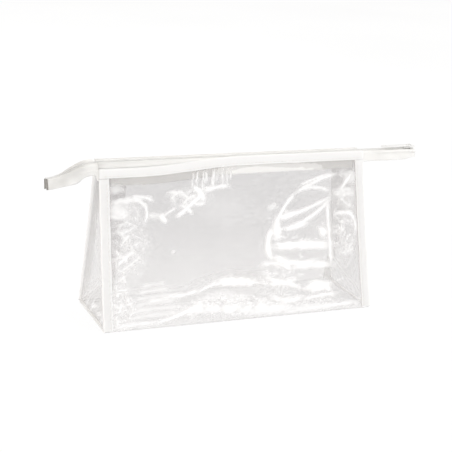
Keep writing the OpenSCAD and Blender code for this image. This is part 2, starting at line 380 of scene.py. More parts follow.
def woven_tape(name, tone, rib, yarn):
    """A woven binding: ribs across its width, yarns along it, and a little unevenness in its white; painted
    shade darkens the tabs, and a small emission is a painted glow.
    """
    g = Graph(bpy.data.materials.new(name))
    ribs, yarns = (
        g.math("ABSOLUTE", g.math("SINE", g.math("MULTIPLY", distance, math.pi / pitch)))
        for distance, pitch in zip(g.threads(), (rib, yarn))
    )
    weave = g.math("MULTIPLY", ribs, g.math("MULTIPLY_ADD", yarns, 0.4, 0.6))
    fuzz = g.noise(2600.0, 2.0, 0.7)
    height = g.math("MULTIPLY_ADD", fuzz, 0.35, weave)
    shade = g.math("MULTIPLY_ADD", weave, 0.25, g.math("MULTIPLY", g.noise(45.0, 3.0), 0.75))
    low = tuple(c * 0.955 for c in tone)
    cloth = g.ramp(shade, [(0.25, low), (0.75, tone)])
    # Painted shade: the tabs' shade attribute blends the white toward this dark brown; the other tapes have
    # none.
    colour = g.blend_colour(g.attribute("painted_shade"), cloth, (0.09, 0.08, 0.07, 1.0))
    rough = g.math("MULTIPLY_ADD", fuzz, 0.15, 0.65)
    # The small emission is a painted glow that keeps the tape light where it is in shade.
    shader = g.node(
        "BsdfPrincipled", Base_Color=colour, Roughness=rough, Normal=g.bump(height, 0.00006, 0.8),
        Sheen_Weight=0.15, Sheen_Roughness=0.5, Subsurface_Weight=0.45, Subsurface_Scale=0.0025,
        Subsurface_Radius=(1.0, 0.97, 0.93), Emission_Color=(1.0, 0.985, 0.97, 1.0),
        Emission_Strength=0.06,
    )
    return g.finish(shader.outputs[0])


def sewing_thread():
    """A twisted white thread, a little uneven in its tone."""
    g = Graph(bpy.data.materials.new("sewing_thread"))
    twist = g.math("SINE", g.math("MULTIPLY", g.math("ADD", *g.threads()), 16.0))
    colour = g.ramp(g.noise(900.0, 2.0), [(0.3, (0.86, 0.855, 0.84)), (0.7, (0.93, 0.925, 0.915))])
    shader = g.node(
        "BsdfPrincipled", Base_Color=colour, Roughness=0.5, Normal=g.bump(twist, 0.00004, 0.7),
        Sheen_Weight=0.1,
    )
    return g.finish(shader.outputs[0])


def coil_nylon():
    """Drawn nylon: white and smooth, with faint streaks."""
    g = Graph(bpy.data.materials.new("coil_nylon"))
    streak = g.noise(700.0, 3.0, 0.6)
    colour = g.ramp(streak, [(0.3, (0.84, 0.84, 0.83)), (0.7, (0.92, 0.92, 0.91))])
    rough = g.math("MULTIPLY_ADD", streak, 0.15, 0.3)
    shader = g.node(
        "BsdfPrincipled", Base_Color=colour, Roughness=rough, Normal=g.bump(streak, 0.00002, 0.5)
    )
    return g.finish(shader.outputs[0])


def slider_enamel():
    """White enamel over die-cast metal: a soft orange peel and slightly greyer rubbed edges."""
    g = Graph(bpy.data.materials.new("slider_enamel"))
    peel = g.noise(1500.0, 2.0, 0.5)
    edge = g.node("NewGeometry").outputs["Pointiness"]
    rubbed = g.ramp(edge, [(0.55, (0.93, 0.93, 0.92)), (0.75, (0.7, 0.7, 0.7))])
    rough = g.math("MULTIPLY_ADD", peel, 0.12, 0.24)
    shader = g.node(
        "BsdfPrincipled", Base_Color=rubbed, Roughness=rough, Normal=g.bump(peel, 0.00003, 0.6),
        Coat_Weight=0.4, Coat_Roughness=0.12,
    )
    return g.finish(shader.outputs[0])


VINYL = clear_vinyl()
BINDING = woven_tape("binding_weave", (0.975, 0.968, 0.957), 0.8, 0.55)
ZIP_TAPE = woven_tape("zip_tape_weave", (0.93, 0.922, 0.895), 0.6, 0.42)
THREAD = sewing_thread()
NYLON = coil_nylon()
ENAMEL = slider_enamel()


# ---- how pieces follow the bodies ----


def follow_wall(piece):
    """Bakes the piece's placement into its mesh."""
    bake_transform(piece)


def dress(piece, nodes):
    """Hides the CAD nodes that the piece stands for."""
    if nodes:
        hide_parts(*nodes)
    return piece


def settle(piece, body, slot, *nodes):
    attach(piece, body)
    return dress(piece, nodes)


def settle_wall(piece, side, slot, *nodes):
    follow_wall(piece)
    return dress(piece, nodes)


def settle_left_tab(piece, slot, *nodes):
    """Bakes the left tab's placement into its mesh and hides its CAD nodes."""
    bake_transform(piece)
    return dress(piece, nodes)


def side_name(side):
    return "front" if side == FRONT else "rear"


def end_name(end):
    return "left" if end == LEFT else "right"


# ---- relief of the clear sheet ----

class Relief:
    """Height, and milky whitening with painted highlights, over a wall's (u, w) plane, in millimetres, kept
    on a grid.
    """

    def __init__(self, u_low, u_high, w_low, w_high, step):
        self.step, self.u_low, self.w_low = step, u_low, w_low
        self.columns = round((u_high - u_low) / step) + 1
        self.rows = round((w_high - w_low) / step) + 1
        self.height = [[0.0] * self.columns for _ in range(self.rows)]
        self.haze_and_highlight = [[0.0] * self.columns for _ in range(self.rows)]

    def near(self, u, w, reach):
        """The grid points within reach of (u, w), with their offsets from it."""
        i_low = max(0, math.ceil((u - reach - self.u_low) / self.step))
        i_high = min(self.columns - 1, math.floor((u + reach - self.u_low) / self.step))
        j_low = max(0, math.ceil((w - reach - self.w_low) / self.step))
        j_high = min(self.rows - 1, math.floor((w + reach - self.w_low) / self.step))
        for j in range(j_low, j_high + 1):
            for i in range(i_low, i_high + 1):
                yield i, j, self.u_low + i * self.step - u, self.w_low + j * self.step - w

    def crease(self, start, end, bow=0.0, depth=0.5, width=1.2, haze_and_highlight=0.5):
        """A ridge along a curved line; bow is how far its middle stands off to the left of its chord."""
        a, b = Vector(start), Vector(end)
        chord = b - a
        left = Vector((-chord.y, chord.x)).normalized()
        control = (a + b) / 2 + left * bow * 2
        steps = max(4, int(chord.length / (0.5 * self.step)))
        found = {}
        for t in spread(0, 1, steps):
            p = a * (1 - t) ** 2 + control * 2 * t * (1 - t) + b * t * t
            for i, j, du, dw in self.near(p.x, p.y, 2.5 * width):
                distance = math.hypot(du, dw)
                if distance < found.get((i, j), (1e9, 0))[0]:
                    found[i, j] = (distance, t)
        for (i, j), (distance, t) in found.items():
            fade = smooth(min(t, 1 - t) * 5)
            uneven = 1 + 0.45 * noise.noise(Vector((t * chord.length / 7, width, a.x)))
            away = distance / (width * uneven)
            strength = 0.25 + 0.75 * fade
            self.height[j][i] += 0.5 * depth * (math.exp(-away ** 2) * strength)
            # The milk along a crease is partly whitening and partly painted highlight.
            self.haze_and_highlight[j][i] = max(self.haze_and_highlight[j][i], haze_and_highlight * (math.exp(-away ** 4) * strength))

    def patch(self, centre, size, lift=0.0, haze_and_highlight=0.0, tilt=0.0):
        """A soft bulge, or a milky spot that paints a highlight, with a broken edge."""
        turn = Matrix.Rotation(-math.radians(tilt), 2)
        for i, j, du, dw in self.near(*centre, 2.5 * max(size)):
            p = turn @ Vector((du, dw))
            across = (p.x / size[0]) ** 2 + (p.y / size[1]) ** 2
            spot = Vector(((du + centre[0]) / 5, (dw + centre[1]) / 3, size[0]))
            across *= 1 + 0.9 * noise.noise(spot)
            self.height[j][i] += lift * math.exp(-across)
            self.haze_and_highlight[j][i] = max(self.haze_and_highlight[j][i], haze_and_highlight * math.exp(-across ** 2))

    def crumple(self, centre, size, scale, depth, haze_and_highlight, seed, stretch=1.0):
        """A field of small sharp folds, dense in the middle and fading outward."""
        for i, j, du, dw in self.near(*centre, 1.8 * max(size)):
            window = smooth(1.6 - math.hypot(du / size[0], dw / size[1]))
            if window <= 0:
                continue
            u, w = (du + centre[0]) / scale, (dw + centre[1]) / (scale * stretch)
            bend = noise.noise(Vector((u * 0.6, w * 0.6, seed + 7.0)))
            fold = 1 - abs(2 * noise.noise(Vector((u + bend, w - bend, seed))))
            fine = 1 - abs(2 * noise.noise(Vector((2.1 * u - bend, 2.1 * w, seed + 3.0))))
            sharp = max(0.0, fold) ** 6
            self.height[j][i] += window * depth * (fold + 0.45 * fine)
            # Whitening on the sharp folds, partly painted highlight.
            self.haze_and_highlight[j][i] += window * haze_and_highlight * (sharp + 0.35 * max(0.0, fine) ** 8)

    def unrest(self, depth, scale, seed, stretch=2.0):
        """Slow unevenness over the whole sheet."""
        for j in range(self.rows):
            for i in range(self.columns):
                u, w = i * self.step / (scale * stretch), j * self.step / scale
                self.height[j][i] += depth * noise.noise(Vector((u, w, seed)))

    def at(self, u, w):
        """Height, and haze with its painted highlight, at any point, between the grid points."""
        x = min(self.columns - 1.001, max(0.0, (u - self.u_low) / self.step))
        y = min(self.rows - 1.001, max(0.0, (w - self.w_low) / self.step))
        i, j = int(x), int(y)
        s, t = x - i, y - j
        found = []
        for field in (self.height, self.haze_and_highlight):
            low = mix(field[j][i], field[j][i + 1], s)
            high = mix(field[j + 1][i], field[j + 1][i + 1], s)
            found.append(mix(low, high, t))
        return found


def left_crinkles(r):
    """The soft dome, painted with a milky highlight, and the dense fine folds beside the front left seam,
    their white lines partly painted highlight.
    """
    r.patch((-95, 89), (10, 7), lift=0.8, haze_and_highlight=0.62)
    r.patch((-88, 98), (15, 2.4), haze_and_highlight=0.7, tilt=5)
    r.patch((-97, 108), (9, 4), lift=0.3, haze_and_highlight=0.4)
    r.patch((-78, 88), (6, 9), lift=1.4)
    r.crease((-88, 99), (-75, 77), bow=9.5, depth=0.7, width=1.1, haze_and_highlight=0.8)
    r.crease((-84, 95), (-81, 80), bow=3, depth=-0.5, width=1.0, haze_and_highlight=0.35)
    r.crease((-84, 101), (-66, 96), bow=2, depth=0.4, width=1.0, haze_and_highlight=0.85)
    r.patch((-66, 84), (5, 3), haze_and_highlight=0.3)
    r.crumple((-89, 63), (15, 22), 6.5, 1.2, 0.55, 3.0)
    r.crumple((-95, 19), (9, 15), 4.5, 0.9, 0.85, 11.0)
    r.crease((-97, 47), (-82, 58), bow=1.5, depth=0.6, haze_and_highlight=0.85)
    r.crease((-95, 44), (-78, 55), bow=-1, depth=-0.5, width=1.1, haze_and_highlight=0.6)
    r.crease((-93, 62), (-86, 70), bow=1, width=0.9, haze_and_highlight=0.7)
    r.crease((-92, 72), (-80, 78), bow=-1, width=0.9, haze_and_highlight=0.6)
    for k in range(9):
        u, w, turn = -97 + 8 * math.sin(2.1 * k) ** 2, 30 + 5 * k, 1.9 * k
        r.crease((u, w), (u + 7 * math.cos(turn), w + 6 * math.sin(turn)), bow=math.sin(3 * k),
                 width=0.7, haze_and_highlight=0.75)
    r.patch((-53, 55), (2.4, 1.4), lift=0.3, haze_and_highlight=0.35, tilt=20)


def upper_crinkles(r):
    """Gathers under the top tape and the sharp folds below them, painted white as highlights."""
    for k in range(13):
        lean = math.sin(2.3 * k)
        u = -36 + 2.5 * k + lean
        r.crease((u, 104 + 3 * math.sin(1.7 * k)), (u + 1 + lean, 116 + lean), bow=0.5 * lean,
                 depth=1.0, width=0.55, haze_and_highlight=0.75 + 0.2 * lean)
    r.crumple((-38, 97), (15, 7), 6.0, 1.3, 0.7, 21.0)
    r.crease((-49, 82), (-38, 91), bow=-1, depth=0.9, width=1.7, haze_and_highlight=1.0)
    r.crease((-40, 88), (-27, 98), bow=1, depth=0.9, width=1.7, haze_and_highlight=1.0)
    r.crease((-44, 91), (-33, 98), bow=1.5, depth=0.6, width=1.0, haze_and_highlight=0.9)
    r.crease((-56, 102), (-38, 94), bow=3, depth=0.7, width=1.1, haze_and_highlight=0.85)
    r.crease((-38, 94), (-26, 91), bow=-2, depth=0.6, haze_and_highlight=0.9)
    r.crease((-36, 105), (-27, 92), bow=1.5, depth=0.7, width=1.9, haze_and_highlight=0.98)
    r.crease((-28, 100), (-6, 102), bow=1, width=1.6, haze_and_highlight=0.9)
    r.crease((-46, 91), (-36, 83), bow=1, depth=0.6, width=1.3, haze_and_highlight=0.9)
    r.crease((-53, 96), (-44, 103), bow=1, width=1.1, haze_and_highlight=0.8)
    r.patch((-59.5, 81), (2.0, 4.2), lift=0.8, haze_and_highlight=1.0, tilt=35)
    r.crease((-60, 83), (-49, 89), depth=0.4, width=0.9, haze_and_highlight=0.75)
    r.crease((-59, 83), (-72, 85), depth=0.4, width=0.8, haze_and_highlight=0.6)


def lower_crinkles(r):
    """The long low folds along the foot of the wall, with a band of painted highlights on them."""
    r.crease((-103, 3), (-68, 4), bow=0.5, depth=0.7, haze_and_highlight=0.8)
    r.crease((-70, 4), (-40, 13), bow=-1.2, depth=0.8, width=1.4, haze_and_highlight=0.9)
    for k in range(6):
        r.crease((-96 + 3 * k, 8 + 4.5 * k), (-44 - 3 * k, 10 + 4.5 * k), bow=0.8,
                 depth=0.35, width=1.4, haze_and_highlight=0.3)
    r.crease((-76, 20), (-52, 24), bow=-1, depth=0.4, haze_and_highlight=0.6)
    r.crumple((-18, 10), (30, 7.0), 7.0, 1.1, 0.7, 31.0, stretch=0.5)
    r.crumple((38, 7), (38, 5.5), 7.0, 0.9, 0.6, 37.0, stretch=0.5)
    r.patch((-5, 29), (15, 3.2), lift=0.5, haze_and_highlight=0.95, tilt=-3)
    r.crease((-34, 25), (20, 25), bow=4.2, depth=0.6, width=0.8, haze_and_highlight=0.75)
    r.crease((-60, 22), (-34, 25), bow=-0.8, depth=0.4, width=1.1, haze_and_highlight=0.8)
    r.crease((-36, 23), (-20, 29), bow=0.5, depth=0.4, width=0.9, haze_and_highlight=0.7)
    for k in range(6):
        r.patch((-38 + 13 * k, 11 - 0.9 * k), (7.5, 3.6 - 0.8 * (k % 2)), lift=0.7, haze_and_highlight=0.8)
    r.patch((20, 5), (22, 3.2), lift=0.3, haze_and_highlight=0.75)
    r.patch((58, 4), (30, 2.8), lift=0.3, haze_and_highlight=0.65)
    r.crease((30, 2), (98, 5), bow=0.6, width=1.5, haze_and_highlight=0.85)
    r.crease((50, 11), (80, 13), bow=1, depth=0.4, haze_and_highlight=0.7)
    r.patch((64, 20), (11, 3.8), lift=0.9, haze_and_highlight=0.9)
    for k in range(4):
        r.crease((17 + 2 * k, 40 - 8 * k), (44 + 2 * k, 34 - 7 * k), bow=3 - 6 * (k % 2),
                 depth=0.6, width=1.5, haze_and_highlight=0.7)
    r.crumple((30, 25), (15, 15), 9.0, 0.9, 0.35, 41.0, stretch=0.6)


def right_dent(r):
    """The big dent with a rim painted bright as a highlight, and the straight folds that run across it, also
    painted with highlights.
    """
    r.patch((58, 70), (25, 26), lift=-2.2)
    r.crease((84, 107), (49, 93), bow=-1.5, depth=1.0, width=1.1, haze_and_highlight=0.9)
    r.crease((50, 94), (29, 62), bow=-2.5, depth=1.1, width=1.3, haze_and_highlight=0.95)
    r.crease((30, 68), (27, 43), bow=-4.0, depth=1.1, width=2.0, haze_and_highlight=1.0)
    r.crease((26, 46), (66, 40), bow=-3.5, depth=0.9, width=1.7, haze_and_highlight=0.9)
    r.crease((53, 99), (79, 107), bow=0.8, width=0.9, haze_and_highlight=0.9)
    r.crease((50, 95), (78, 94), bow=2.6, depth=0.6, width=1.1, haze_and_highlight=0.85)
    r.crease((35, 73), (79, 89), bow=-1.0, depth=0.9, haze_and_highlight=1.0)
    r.crease((41, 66), (79, 88), bow=-3.6, depth=0.9, haze_and_highlight=1.0)
    r.patch((43, 76.5), (10, 2.2), lift=0.4, haze_and_highlight=1.0, tilt=16)
    r.patch((50, 67.5), (10, 2.2), lift=0.4, haze_and_highlight=1.0, tilt=12)
    r.patch((33, 66), (4.2, 7.5), lift=0.9, haze_and_highlight=0.95)
    r.crease((28, 53), (78, 51), bow=0.8, depth=1.0, width=2.8, haze_and_highlight=1.0)
    r.crease((42, 37), (78, 36), bow=0.6, width=2.6, haze_and_highlight=0.75)
    r.patch((72, 62), (3, 4.5), haze_and_highlight=0.95)
    r.crease((76.2, 88), (77, 34), bow=0.4, width=1.0, haze_and_highlight=0.95)
    r.patch((30, 84), (4, 2.5), haze_and_highlight=0.4)
    r.crease((82, 76), (99, 58), bow=9, depth=0.6, haze_and_highlight=0.8)
    r.patch((90, 92), (9, 4.0), lift=0.5, haze_and_highlight=0.5)
    r.crease((86, 93), (97, 107), depth=0.4, haze_and_highlight=0.9)
    r.patch((96, 104), (8, 5), lift=0.3, haze_and_highlight=0.45, tilt=-20)
    r.crumple((90, 66), (9, 24), 6.0, 1.0, 0.6, 45.0)


def front_relief():
    r = Relief(-BASE_HALF, BASE_HALF, 0, WALL_LEN, 1.0)
    r.unrest(1.6, 26.0, 1.5)
    left_crinkles(r)
    upper_crinkles(r)
    lower_crinkles(r)
    right_dent(r)
    return r


def rear_relief():
    r = Relief(-BASE_HALF, BASE_HALF, 0, WALL_LEN, 1.0)
    r.unrest(1.8, 30.0, 6.5)
    r.crumple((60, 60), (26, 30), 14.0, 1.2, 0.12, 51.0)
    r.crumple((-70, 40), (20, 26), 12.0, 1.0, 0.12, 57.0)
    r.crease((-40, 108), (30, 96), bow=-4, depth=0.6, width=1.8, haze_and_highlight=0.06)
    r.crease((-20, 4), (60, 5), bow=9, depth=1.1, width=2.2, haze_and_highlight=0.4)
    # A milky patch painted as the highlight under the arch of the rear foot fold.
    r.patch((28, 7), (24, 4.5), lift=0.8, haze_and_highlight=0.75)
    r.crease((-95, 6), (-20, 4), bow=0.5, depth=0.7, haze_and_highlight=0.3)
    return r


# A sheet ends this far inside the outer edge of the tape that is folded over it.
SHEET_INSET = 1.2


def hold(u, w):
    """From 0 where a wall's sheet is sewn flat, at its seams, head and foot, to 1 in its middle."""
    seam_reach, head_reach, foot_reach = 6.0, 14.0, 7.0
    seam = smooth((wall_half(w) - SEAM_TAPE_W - abs(u) + 1.0) / seam_reach)
    head = smooth((WALL_LEN - FLAP_DEPTH - w + 12.0) / head_reach)
    return seam * head * smooth(w / foot_reach)


def sag(u, w):
    """The slack of a wall: hollow in its upper half, rounded out near its foot."""
    hollow, belly, belly_w, belly_reach = 2.6, 2.2, 14.0, 13.0
    across = 1 - (u / BASE_HALF) ** 2
    rounded = belly * math.exp(-((w - belly_w) / belly_reach) ** 2)
    return across * (-hollow * math.sin(math.pi * (w / WALL_LEN)) + rounded)


def wall_sheet(side, relief):
    """The clear sheet of one wall, from the rolled fold at its foot to the top tape."""
    head, roll_steps, roll_drop, roll_in, roll_haze_and_highlight = WALL_LEN - 0.8, 4, 0.35, 0.5, 0.12
    rows = relief.rows - 1
    across = spread(-1, 1, relief.columns - 1)
    grid, haze_and_highlight = [], []
    for k in range(roll_steps):
        turn = math.pi / 2 * (1 - k / roll_steps)
        y = -FOLD_Y + roll_in * math.sin(turn)
        z = FOLD_Z - roll_drop * (1 - math.cos(turn)) + 0.05
        grid.append([Vector((share * (wall_half(0) - SHEET_INSET), side * y, z)) for share in across])
        # The rolled foot is milky, partly as painted highlight.
        haze_and_highlight.append([roll_haze_and_highlight] * len(across))
    for w in [head * j / rows for j in range(rows + 1)]:
        row, haze_and_highlight_row = [], []
        # Painted highlight along the foot fold, and a painted reflection of the pale floor over the lower
        # wall.
        fold_haze_and_highlight, floor_reflection_paint = 0.10 * math.exp(-w / 1.2), 0.13 * smooth((70 - w) / 60)
        for share in across:
            u = share * (wall_half(w) - SHEET_INSET)
            height, haze_and_highlight_here = relief.at(u, w)
            keep = hold(u, w)
            row.append(wall(u, w, keep * (height + sag(u, w)), side))
            haze_and_highlight_row.append(min(1.0, haze_and_highlight_here * (0.5 + 0.5 * keep) + (fold_haze_and_highlight + floor_reflection_paint)))
        grid.append(row)
        haze_and_highlight.append(haze_and_highlight_row)
    if side == REAR:
        grid, haze_and_highlight = mirrored(grid), mirrored(haze_and_highlight)
    piece = shell(side_name(side) + "_sheet", grid, SHEET_T, VINYL, haze_and_highlight=haze_and_highlight)
    settle_wall(piece, side, "clear_sheet", side_name(side) + "_panel")
    return piece


def base_sheet():
    """The floor of the bag: it lies on the table, lifted a little in long low waves."""
    half_x, half_y, step, rest_z = BASE_HALF - SHEET_INSET, FOLD_Y - 0.6, 1.6, 0.3
    wave_lift, fold_lift = 1.7, 0.7
    grid, haze_and_highlight = [], []
    for y in spread(-half_y, half_y, round(2 * half_y / step)):
        row, haze_and_highlight_row = [], []
        for x in spread(-half_x, half_x, round(2 * half_x / step)):
            inside = smooth((half_x - abs(x)) / 9) * smooth((half_y - abs(y)) / 7)
            wave = 0.5 + noise.noise(Vector((x / 34, y / 16, 9.5)))
            fold = max(0.0, 1 - abs(2.4 * noise.noise(Vector((x / 26, y / 12, 4.5))))) ** 5
            row.append(Vector((x, y, rest_z + inside * (wave_lift * max(0.0, wave) + fold_lift * fold))))
            # Milky whitening along the base's folds, partly painted highlight.
            haze_and_highlight_row.append(0.03 + 0.25 * inside * fold)
        grid.append(row)
        haze_and_highlight.append(haze_and_highlight_row)
    piece = shell("base_sheet", grid, SHEET_T, VINYL, haze_and_highlight=haze_and_highlight)
    settle(piece, "root", "clear_sheet", "base_panel")
    return piece


# ---- side gussets ----

CREASE_IN_TOP, CREASE_DIP, FORK_IN, FORK_HEIGHT = 24.0, 1.5, 19.0, 34.0
GUSSET_ROWS_UP, GUSSET_ROWS_DOWN, GUSSET_COLUMNS = 86, 24, 56


def gusset_lines(end):
    """The seam and crease lines of a gusset, as functions of a share from 0 to 1."""
    foot_w, head_w, seam_inset, behind_wall = 1.2, TOP_TAPE_FOOT - 0.6, 1.6, -0.35
    fork = Vector((end * (wall_half(FORK_HEIGHT) - FORK_IN), 0, FORK_HEIGHT))
    top = Vector((end * (wall_half(head_w) - CREASE_IN_TOP), 0, wall(0, head_w).z))

    def seam(t, side):
        w = mix(foot_w, head_w, t)
        return wall(end * (wall_half(w) - seam_inset), w, behind_wall, side)

    def crease(t):
        return fork.lerp(top, t) + Vector((-end * CREASE_DIP * math.sin(math.pi * t), 0, 0))

    return seam, crease


def gusset_grid(end):
    """A sheet pushed in along its middle, with a crease that forks to the two lower corners."""
    seam, crease = gusset_lines(end)
    foot_z = 0.9
    grid = []
    for j in range(-GUSSET_ROWS_DOWN, GUSSET_ROWS_UP + 1):
        row = []
        t = max(0.0, j / GUSSET_ROWS_UP)
        down = max(0.0, -j / GUSSET_ROWS_DOWN)
        for s in spread(0, 2, GUSSET_COLUMNS):
            side = FRONT if s <= 1 else REAR
            p = seam(t, side).lerp(crease(t), min(s, 2 - s))
            if down:
                base = seam(0, FRONT).lerp(seam(0, REAR), s / 2)
                base.z = foot_z
                p = p.lerp(base, down)
            row.append(p)
        grid.append(row)
    return grid


def relax(grid, rounds):
    """Rounds the folds of a grid of points, keeping its rim."""
    for _ in range(rounds):
        before = [[p.copy() for p in row] for row in grid]
        for j in range(1, len(grid) - 1):
            for i in range(1, len(grid[0]) - 1):
                around = before[j - 1][i] + before[j + 1][i] + before[j][i - 1] + before[j][i + 1]
                grid[j][i] = before[j][i] * 0.5 + around * 0.125


def gusset_relief(grid, even_haze_and_light, seed):
    """Dents a gusset a little and gives back its milky whitening: even all over, where it lightens the sheet
    as painted light, and milkier along its crease and folds, as painted highlight.
    """
    normals = grid_normals(grid)
    last_row, rim_cells, fold_cells = len(grid) - 1, 6, 1.3
    haze_and_highlight = []
    for j, row in enumerate(grid):
        haze_and_highlight_row = []
        for i, p in enumerate(row):
            rim = smooth(min(i, GUSSET_COLUMNS - i) / rim_cells) * smooth(min(j, last_row - j) / rim_cells)
            bend = noise.noise(Vector((p.y / 11, p.z / 34, seed)))
            fold = max(0.0, 1 - abs(2.2 * noise.noise(Vector((p.y / 8, p.z / 42, seed + 5))))) ** 5
            row[i] = p + normals[j][i] * rim * (1.1 * bend + 0.5 * fold)
            middle = math.exp(-((i - GUSSET_COLUMNS / 2) / fold_cells) ** 2) if j >= GUSSET_ROWS_DOWN else 0.0
            arm = math.exp(-((j - GUSSET_ROWS_DOWN) / fold_cells) ** 2)
            haze_and_highlight_row.append(min(0.8, even_haze_and_light + 0.4 * middle + 0.3 * arm + 0.16 * fold * rim))
        haze_and_highlight.append(haze_and_highlight_row)
    return haze_and_highlight


def gusset(end):
    grid = gusset_grid(end)
    relax(grid, 3)
    # The right gusset gets the stronger even milkiness: it is painted lighter, as the side the light falls
    # on.
    if end == LEFT:
        haze_and_highlight = gusset_relief(grid, even_haze_and_light=0.1, seed=14.0)
    else:
        haze_and_highlight = gusset_relief(grid, even_haze_and_light=0.2, seed=24.0)
        grid, haze_and_highlight = mirrored(grid), mirrored(haze_and_highlight)
    piece = shell(end_name(end) + "_gusset_sheet", grid, SHEET_T, VINYL, haze_and_highlight=haze_and_highlight)
    settle(piece, "root", "clear_sheet", end_name(end) + "_gusset")
    return piece


# ---- bindings ----

STITCH_PITCH, SEAM_STITCH_IN, TOP_STITCH_UP, PUCKER = 3.1, 1.7, 1.5, 0.07


def pucker(distance):
    """How far the needle has drawn the cloth in or left it proud, along a row of stitches."""
    return PUCKER * math.sin(2 * math.pi * distance / STITCH_PITCH)


def binding_section(width, thickness, slit, tuck):
    """Section of a folded binding: two leaves with a rolled edge, as (inward, out) pairs."""
    half, thin = thickness / 2, thickness / 2 * 0.86
    hem, hem_rise = 0.25, 0.05
    outer = [(0.0, thin), (hem, thin + hem_rise), (width * 0.5, half)]
    outer += [(width - half + half * math.sin(a), half * math.cos(a)) for a in spread(0, math.pi, 8)]
    outer += [(width * 0.5, -half), (hem, -thin - hem_rise), (0.0, -thin)]
    inner = [(0.0, -slit), (width - tuck, -slit * 0.8), (width - tuck, slit * 0.8), (0.0, slit)]
    return outer + inner


def loft(name, rings, turned):
    """A binding through rings of (point, threads) pairs; turned reverses them, so that it faces out."""
    if turned:
        rings = mirrored(rings)
    sections = [[p for p, thread in ring] for ring in rings]
    return sweep(name, sections, [thread for p, thread in flat(rings)])


def seam_binding(end, side):
    """Tape folded over a side seam, a little wavy where the needle has drawn it in."""
    name = side_name(side) + "_" + end_name(end) + "_seam_tape"
    section = binding_section(SEAM_TAPE_W, SEAM_TAPE_T, 0.32, 1.6)
    foot, head, steps = 0.4, TOP_TAPE_FOOT - 0.25, 120
    rings = []
    for w in spread(foot, head, steps):
        edge = wall_half(w) + 0.25 * noise.noise(Vector((w / 16, end * 3.0, side * 5.0)))
        ring = []
        for inward, out in section:
            stitched = math.exp(-((inward - SEAM_STITCH_IN) / 1.4) ** 2)
            bulge = out + pucker(w) * stitched * (1 if out > 0 else -1)
            thread = (w, inward + (2 * SEAM_TAPE_W if out < 0 else 0), 0.0)
            ring.append((wall(end * (edge - SEAM_TAPE_W + inward), w, bulge, side), thread))
        rings.append(ring)
    piece = loft(name + "_binding", rings, end * side < 0)
    settle(piece, "root", "white_tape", name)
    return piece


def base_binding(end):
    """Tape folded over the seam between the base and a gusset, lying along the floor."""
    name = end_name(end) + "_base_seam_tape"
    section = binding_section(BASE_TAPE_W, 1.6, 0.3, 1.0)
    half_y, steps, middle_z = FOLD_Y - 1.1, 70, 0.95
    sections, threads = [], []
    for y in spread(-half_y, half_y, steps):
        lift = 0.12 * noise.noise(Vector((y / 9, end * 2.0, 3.0)))
        sections.append([Vector((end * (BASE_HALF - BASE_TAPE_W + inward), y, middle_z + out + lift))
                         for inward, out in section])
        threads += [(y, inward, 0.0) for inward, out in section]
    piece = sweep(name + "_binding", sections if end < 0 else mirrored(sections), threads)
    settle(piece, "root", "white_tape", name)
    return piece


TOP_LEAF_LOW, TOP_LEAF = 0.3, 0.6


def top_binding_section():
    """Section of a top tape, as (w, v) pairs: a tall outer leaf and a head rolled over the wall."""
    low, high, head = TOP_LEAF_LOW, TOP_LEAF_LOW + TOP_LEAF, WALL_LEN - 0.6
    roll_up, roll_drop = 0.7, 0.35
    outline = [(TOP_TAPE_FOOT, low), (TOP_TAPE_FOOT, low + TOP_LEAF * 0.8), (TOP_TAPE_FOOT + 0.4, high)]
    outline += [(TOP_TAPE_FOOT + 3, low + TOP_LEAF * 1.1), (head, high)]
    outline += [(head + roll_up * math.sin(a), low - roll_drop + (TOP_LEAF + roll_drop) * math.cos(a))
                for a in [math.pi * k / 12 for k in range(1, 9)]]
    return outline + [(WALL_LEN - 0.7, -0.25), (WALL_LEN - 0.8, low - 0.15)]


def top_binding(side):
    """Tape folded over the top edge of a wall."""
    name = side_name(side) + "_top_tape"
    outline, steps = top_binding_section(), 150
    rings = []
    for u in spread(-TOP_HALF, TOP_HALF, steps):
        droop = 0.25 * noise.noise(Vector((u / 21, side * 4.0, 1.0)))
        ring = []
        for w, v in outline:
            stitched = math.exp(-((w - TOP_TAPE_FOOT - TOP_STITCH_UP) / 1.3) ** 2)
            share = 1 - smooth((w - TOP_TAPE_FOOT) / 5)
            ring.append((wall(u, w + droop * share, v + pucker(u) * stitched, side), (u, w, 0.0)))
        rings.append(ring)
    piece = loft(name + "_binding", rings, side == REAR)
    settle_wall(piece, side, "white_tape", name)
    return piece


# ---- zip ----


def zip_profile(foot_w, side):
    """A half of the zip tape over the body in section: strip, fold, and flap behind the wall."""
    inner_v, curl, set_back = -0.35, 0.7, 0.25
    y_from, y_to = -0.7, wall(0, WALL_LEN - 0.1, inner_v).y + 0.5
    strip = [Vector((0, mix(y_from, y_to, t), STRIP_MIDDLE + curl * t ** 2)) for t in spread(0, 1, 4)]
    flap = [wall(0, mix(WALL_LEN - 0.9, foot_w, k / 7), inner_v - set_back * smooth(k / 2)) for k in range(8)]
    return [Vector((p.x, side * p.y, p.z)) for p in strip + flap]


